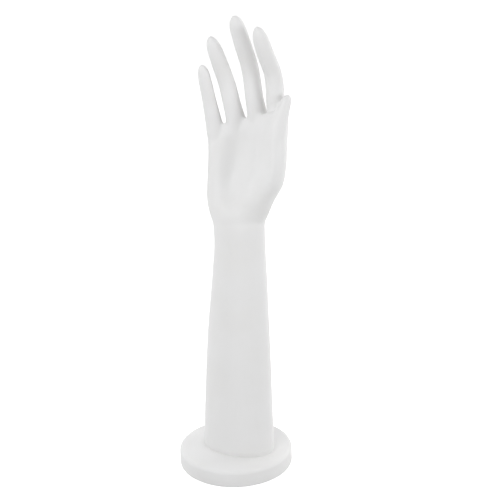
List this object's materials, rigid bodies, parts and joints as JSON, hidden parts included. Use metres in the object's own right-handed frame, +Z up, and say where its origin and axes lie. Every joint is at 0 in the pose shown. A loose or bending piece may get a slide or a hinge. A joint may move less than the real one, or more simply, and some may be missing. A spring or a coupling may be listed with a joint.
{
  "type": "hand jewelry stand",
  "caption": "Upright hand and forearm on a round foot that displays rings on its fingers and bracelets, gloves and watches on its wrist and forearm.",
  "frame": {"origin": "centre of the round foot's underside", "axes": "+Z up from the foot to the fingertips, -Y to the front, where the palm faces, and +X towards the thumb's side"},
  "size_m": [0.1044, 0.1, 0.3995],
  "materials": {
    "white_plastic": "matte white, plain"
  },
  "bodies": {
    "root": {"hand_stand": "white_plastic"}
  },
  "joints": []
}
